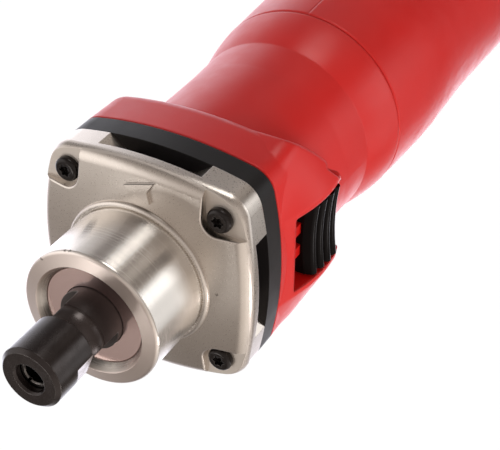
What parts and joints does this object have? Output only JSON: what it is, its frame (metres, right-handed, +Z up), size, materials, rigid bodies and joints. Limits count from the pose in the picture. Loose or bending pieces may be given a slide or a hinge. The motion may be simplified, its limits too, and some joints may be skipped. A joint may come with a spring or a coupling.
{
  "type": "straight grinder",
  "caption": "Electric straight grinder: round clamping neck with collet and nut, bowed square cast flange, red motor housing with side slide switch and long round handle.",
  "frame": {"origin": "middle of the clamping neck's length, on the spindle axis", "axes": "+X forward along the spindle, towards the collet; +Y the tool's left, where the slide switch is; +Z up"},
  "size_m": [0.3412, 0.0737, 0.0708],
  "materials": {
    "cast_aluminium": "satin cast, neck turned bright",
    "turned_aluminium": "turned",
    "black_screw": "black oxide",
    "black_ring": "satin, fine grain",
    "red_plastic": "satin, fine moulded grain",
    "black_plastic": "satin",
    "grey_plastic": "plain",
    "module_case": "plain",
    "lead_insulation": "smooth",
    "black_rubber": "matt",
    "black_steel": "black oxide, oiled",
    "bright_steel": "ground",
    "cage_brass": "pressed",
    "laminated_steel": "stacked sheets",
    "copper": "varnished copper",
    "moulding": "moulded resin",
    "carbon": "pressed carbon"
  },
  "bodies": {
    "housing": {"nose_housing": "cast_aluminium", "bearing_cover": "turned_aluminium", "flange_screws": "black_screw", "handle_screws": "black_screw", "spacer_ring": "black_ring", "motor_housing": "red_plastic", "handle_left": "red_plastic", "handle_right": "red_plastic", "power_switch": "black_plastic", "air_baffle": "grey_plastic", "cord_clamp": "grey_plastic", "dial_potentiometer": "grey_plastic", "speed_module": "module_case", "suppression_capacitor": "module_case", "lead_wires": "lead_insulation", "cord_gland": "black_rubber", "rear_bearing_boot": "black_rubber", "front_bearing_outer_race": "bright_steel", "rear_bearing_outer_race": "bright_steel", "bearing_shim": "bright_steel", "cord_clamp_screws": "bright_steel", "field_screws": "bright_steel", "brush_holder_upper": "cage_brass", "brush_holder_lower": "cage_brass", "field_core": "laminated_steel", "field_coils": "copper"},
    "rotor": {"spindle_shaft": "black_steel", "fan": "grey_plastic", "armature_core": "laminated_steel", "armature_winding": "copper", "commutator": "copper", "commutator_hub": "moulding", "front_bearing_inner_race": "bright_steel", "rear_bearing_inner_race": "bright_steel"},
    "collet": {"collet": "bright_steel"},
    "collet_nut": {"collet_nut": "black_steel"},
    "front_cage": {"front_bearing_cage": "cage_brass", "front_bearing_balls": "bright_steel"},
    "rear_cage": {"rear_bearing_cage": "cage_brass", "rear_bearing_balls": "bright_steel"},
    "switch_slider": {"slide_button": "black_plastic", "switch_rod": "grey_plastic", "switch_actuator": "grey_plastic"},
    "speed_dial": {"speed_dial": "black_plastic"},
    "brush_upper": {"carbon_brush_upper": "carbon", "brush_spring_upper": "bright_steel"},
    "brush_lower": {"carbon_brush_lower": "carbon", "brush_spring_lower": "bright_steel"}
  },
  "joints": [
    {"name": "rotor_spin", "type": "hinge", "parent": "housing", "child": "rotor", "pos_m": [0, 0, 0], "axis": [1, 0, 0], "continuous": true},
    {"name": "front_cage_spin", "type": "hinge", "parent": "housing", "child": "front_cage", "pos_m": [0, 0, 0], "axis": [1, 0, 0], "continuous": true},
    {"name": "rear_cage_spin", "type": "hinge", "parent": "housing", "child": "rear_cage", "pos_m": [0, 0, 0], "axis": [1, 0, 0], "continuous": true},
    {"name": "collet_release", "type": "slide", "parent": "rotor", "child": "collet", "axis": [1, 0, 0], "range_m": [0, 0.002]},
    {"name": "nut_turn", "type": "hinge", "parent": "collet", "child": "collet_nut", "pos_m": [0, 0, 0], "axis": [1, 0, 0], "range_deg": [0, 720]},
    {"name": "switch_slide", "type": "slide", "parent": "housing", "child": "switch_slider", "axis": [1, 0, 0], "range_m": [0, 0.006], "stiffness_N_per_m": 300, "springref_m": -0.004},
    {"name": "dial_turn", "type": "hinge", "parent": "housing", "child": "speed_dial", "pos_m": [-0.292, 0, 0.0125], "axis": [0, 1, 0], "range_deg": [0, 270]},
    {"name": "brush_lift_upper", "type": "slide", "parent": "housing", "child": "brush_upper", "axis": [0, 0, 1], "range_m": [0, 0.003], "stiffness_N_per_m": 300, "springref_m": -0.01, "deforming": ["brush_spring_upper"]},
    {"name": "brush_lift_lower", "type": "slide", "parent": "housing", "child": "brush_lower", "axis": [0, 0, -1], "range_m": [0, 0.003], "stiffness_N_per_m": 300, "springref_m": -0.01, "deforming": ["brush_spring_lower"]}
  ],
  "couplings": [
    {"joint": "front_cage_spin", "follows": "rotor_spin", "ratio": 0.381},
    {"joint": "rear_cage_spin", "follows": "rotor_spin", "ratio": 0.37},
    {"joint": "nut_turn", "follows": "collet_release", "rad_per_m": 6283.2}
  ]
}
